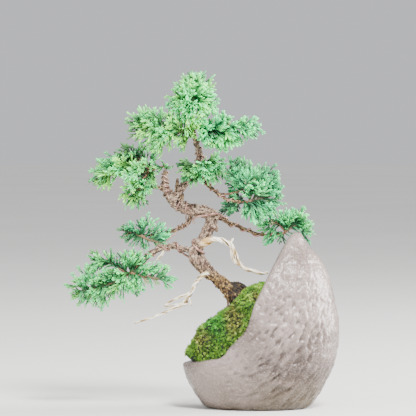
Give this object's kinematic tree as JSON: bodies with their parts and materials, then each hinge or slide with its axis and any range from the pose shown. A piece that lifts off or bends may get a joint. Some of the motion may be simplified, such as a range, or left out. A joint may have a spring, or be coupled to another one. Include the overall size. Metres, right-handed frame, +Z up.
{
  "type": "juniper bonsai in a crescent pot",
  "caption": "Small juniper bonsai with a twisting trunk, bleached dead wood, training wire and leaning foliage pads, planted on a moss mound in a hollow boulder-shaped crescent pot.",
  "frame": {"origin": "on the underside of the pot's foot, below the middle of the pot", "axes": "+Z up; +X towards the tall horn of the pot; the side of the pot that faces the viewer looks along -Y"},
  "size_m": [0.171, 0.072, 0.209],
  "materials": {
    "stoneware": "unglazed stoneware, hand-textured like a weathered boulder, with a faint satin sheen",
    "mesh_plastic": "moulded dark green drainage mesh",
    "soil": "granular fired-clay bonsai soil",
    "moss": "living moss, soft and matte",
    "juniper_wood": "flaky pinkish-brown bark, with bare bleached dead wood",
    "training_wire": "anodised brown aluminium wire, satin",
    "juniper_foliage": "scale-leaved green branchlets with a waxy bloom"
  },
  "bodies": {
    "root": {"pot": "stoneware", "drainage_mesh": "mesh_plastic", "soil": "soil", "moss": "moss", "tree_wood": "juniper_wood", "wire_lower_branch": "training_wire", "wire_right_branch": "training_wire", "wire_second_branch": "training_wire", "wire_left_limb_inner": "training_wire", "wire_left_limb_outer": "training_wire", "wire_apex_limb": "training_wire", "wire_upper_right_branch": "training_wire", "foliage_lower_left": "juniper_foliage", "foliage_second_left": "juniper_foliage", "foliage_left": "juniper_foliage", "foliage_left_side": "juniper_foliage", "foliage_upper_left": "juniper_foliage", "foliage_apex": "juniper_foliage", "foliage_upper_right": "juniper_foliage", "foliage_front": "juniper_foliage", "foliage_right": "juniper_foliage", "foliage_far_right": "juniper_foliage", "foliage_rear": "juniper_foliage"}
  },
  "joints": []
}
